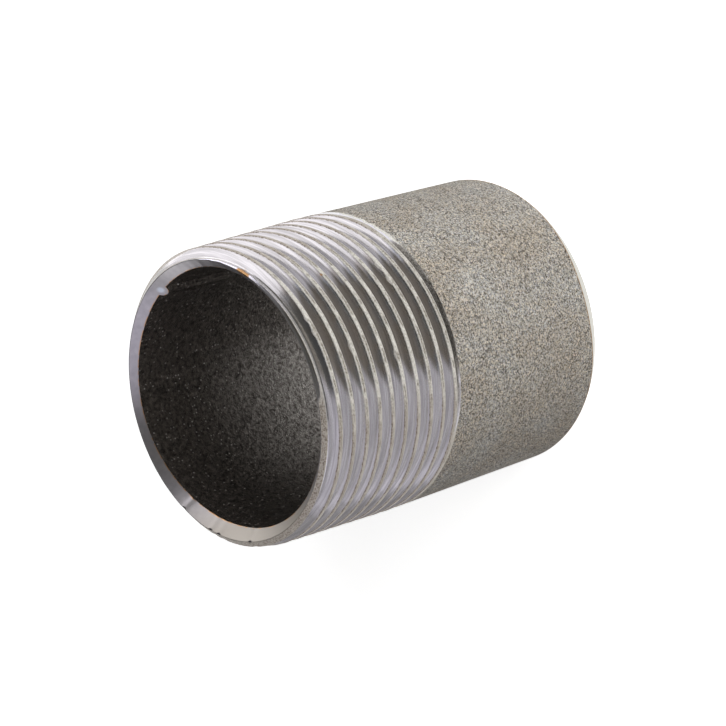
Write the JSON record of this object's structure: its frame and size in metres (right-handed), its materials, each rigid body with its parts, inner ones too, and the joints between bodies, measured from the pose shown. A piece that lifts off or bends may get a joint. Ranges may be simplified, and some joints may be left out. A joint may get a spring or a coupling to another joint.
{
  "type": "single-threaded pipe nipple",
  "caption": "Short steel tube with a tapered pipe thread on one end and a plain end for welding.",
  "frame": {"origin": "centre of the plain end, which the part stands on", "axes": "+Z along the tube, from the plain end to the threaded end; -Y is the side that faces the picture's camera"},
  "size_m": [0.0424, 0.0424, 0.052],
  "materials": {
    "steel": "bare steel: turned and die-cut on the threaded end, rough and blasted on the plain length, dark scale in the bore, a few rust specks"
  },
  "bodies": {
    "root": {"pipe_nipple": "steel"}
  },
  "joints": []
}
